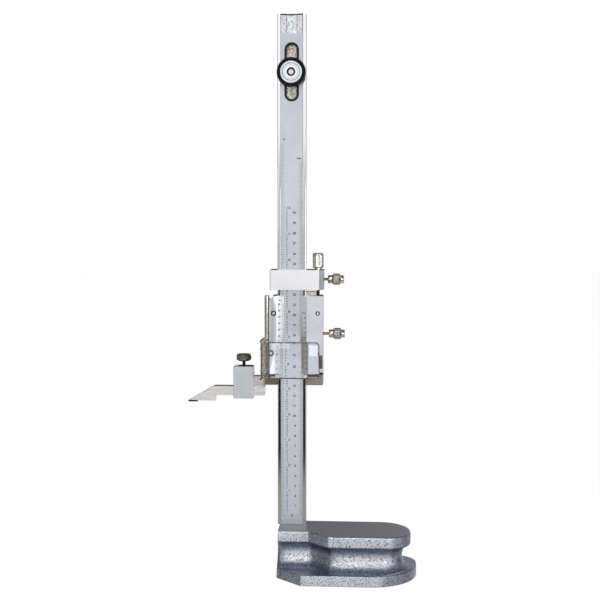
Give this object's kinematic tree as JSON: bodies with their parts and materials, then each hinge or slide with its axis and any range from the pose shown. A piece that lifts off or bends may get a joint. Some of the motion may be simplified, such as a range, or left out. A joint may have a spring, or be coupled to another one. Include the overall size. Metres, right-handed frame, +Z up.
{
  "type": "vernier height gauge",
  "caption": "Vernier height gauge on a cast base with a finger groove: graduated column, slider with fine adjustment, magnifier on a rod, clamped scriber and a sliding scale with a zero lock.",
  "frame": {"origin": "on the underside of the base, below the middle of the column", "axes": "+Z up along the column, -Y towards the graduated face, +X along the base away from the scriber"},
  "size_m": [0.226, 0.0774, 0.5473],
  "materials": {
    "base_paint": "hammered silver-blue paint, smooth dark grey top",
    "column_steel": "polished lips, ground channel",
    "black_screw": "blackened",
    "stud_steel": "bright",
    "scale_steel": "satin chrome with black graduations",
    "liner_black": "matt black",
    "washer_steel": "bright",
    "knob_black": "black, fine straight knurl",
    "cap_steel": "turned",
    "clamp_steel": "satin chrome",
    "brass": "plain",
    "thumb_screw_steel": "satin, knurled",
    "fine_knob_chrome": "polished, knurled",
    "spindle_black": "blackened thread",
    "slider_steel": "satin chrome",
    "inch_vernier_steel": "satin chrome with black graduations",
    "mm_vernier_steel": "satin chrome with black graduations",
    "vernier_screw_steel": "bright",
    "gib_steel": "ground",
    "rod_chrome": "polished",
    "holder_steel": "plated sheet",
    "lens_frame_steel": "plated sheet",
    "rivet_steel": "bright",
    "lens_glass": "clear",
    "box_steel": "satin chrome",
    "box_screw_black": "blackened",
    "box_knob_chrome": "plated, knurled",
    "scriber_steel": "ground",
    "carbide": "ground hard metal"
  },
  "bodies": {
    "stand": {"base_casting": "base_paint", "column": "column_steel", "column_screws": "black_screw", "zero_lock_stud": "stud_steel"},
    "main_scale": {"main_scale": "scale_steel", "scale_slot_liner": "liner_black"},
    "zero_lock": {"zero_lock_washer": "washer_steel", "zero_lock_knob": "knob_black", "zero_lock_cap": "cap_steel"},
    "fine_clamp": {"fine_clamp_block": "clamp_steel", "fine_clamp_shoe": "brass"},
    "fine_clamp_screw": {"fine_clamp_screw": "thumb_screw_steel"},
    "fine_adjuster": {"fine_adjust_knob": "fine_knob_chrome", "fine_adjust_spindle": "spindle_black"},
    "slider": {"slider_frame": "slider_steel", "inch_vernier": "inch_vernier_steel", "mm_vernier": "mm_vernier_steel", "vernier_screws": "vernier_screw_steel", "gib": "gib_steel", "gib_screws": "black_screw", "magnifier_rod": "rod_chrome"},
    "slider_lock": {"slider_lock_screw": "thumb_screw_steel"},
    "magnifier": {"magnifier_holder": "holder_steel", "magnifier_frame": "lens_frame_steel", "magnifier_rivets": "rivet_steel", "magnifier_lens": "lens_glass"},
    "scriber_clamp": {"scriber_clamp_box": "box_steel", "scriber_clamp_pad": "brass"},
    "scriber_clamp_screw": {"scriber_clamp_screw": "box_screw_black", "scriber_clamp_knob": "box_knob_chrome"},
    "scriber": {"scriber_blade": "scriber_steel", "carbide_tip": "carbide"}
  },
  "joints": [
    {"name": "scale_zero_adjust", "type": "slide", "parent": "stand", "child": "main_scale", "axis": [0, 0, 1], "range_m": [0, 0.018]},
    {"name": "zero_lock_turn", "type": "hinge", "parent": "stand", "child": "zero_lock", "pos_m": [0, 0, 0.4908], "axis": [0, -1, 0], "range_deg": [0, 360]},
    {"name": "main_travel", "type": "slide", "parent": "stand", "child": "fine_clamp", "axis": [0, 0, 1], "range_m": [-0.128, 0.174]},
    {"name": "fine_clamp_turn", "type": "hinge", "parent": "fine_clamp", "child": "fine_clamp_screw", "pos_m": [0.0321, 0, 0.29085], "axis": [1, 0, 0], "range_deg": [0, 360]},
    {"name": "fine_knob_turn", "type": "hinge", "parent": "fine_clamp", "child": "fine_adjuster", "pos_m": [0.0257, -0.005, 0.29], "axis": [0, 0, 1], "range_deg": [-515, 5144]},
    {"name": "fine_travel", "type": "slide", "parent": "fine_clamp", "child": "slider", "axis": [0, 0, 1], "range_m": [-0.01, 0.001]},
    {"name": "slider_lock_turn", "type": "hinge", "parent": "slider", "child": "slider_lock", "pos_m": [0.0305, 0, 0.2373], "axis": [1, 0, 0], "range_deg": [0, 360]},
    {"name": "magnifier_slide", "type": "slide", "parent": "slider", "child": "magnifier", "axis": [0, 0, 1], "range_m": [0, 0.034]},
    {"name": "scriber_clamp_slide", "type": "slide", "parent": "slider", "child": "scriber_clamp", "axis": [1, 0, 0], "range_m": [-0.006, 0.006]},
    {"name": "scriber_clamp_turn", "type": "hinge", "parent": "scriber_clamp", "child": "scriber_clamp_screw", "pos_m": [-0.0476, -0.0036, 0.208], "axis": [0, 0, 1], "range_deg": [0, 360]},
    {"name": "scriber_slide", "type": "slide", "parent": "slider", "child": "scriber", "axis": [1, 0, 0], "range_m": [-0.015, 0.01]}
  ],
  "couplings": [
    {"joint": "fine_knob_turn", "follows": "fine_travel", "rad_per_m": -8976}
  ]
}
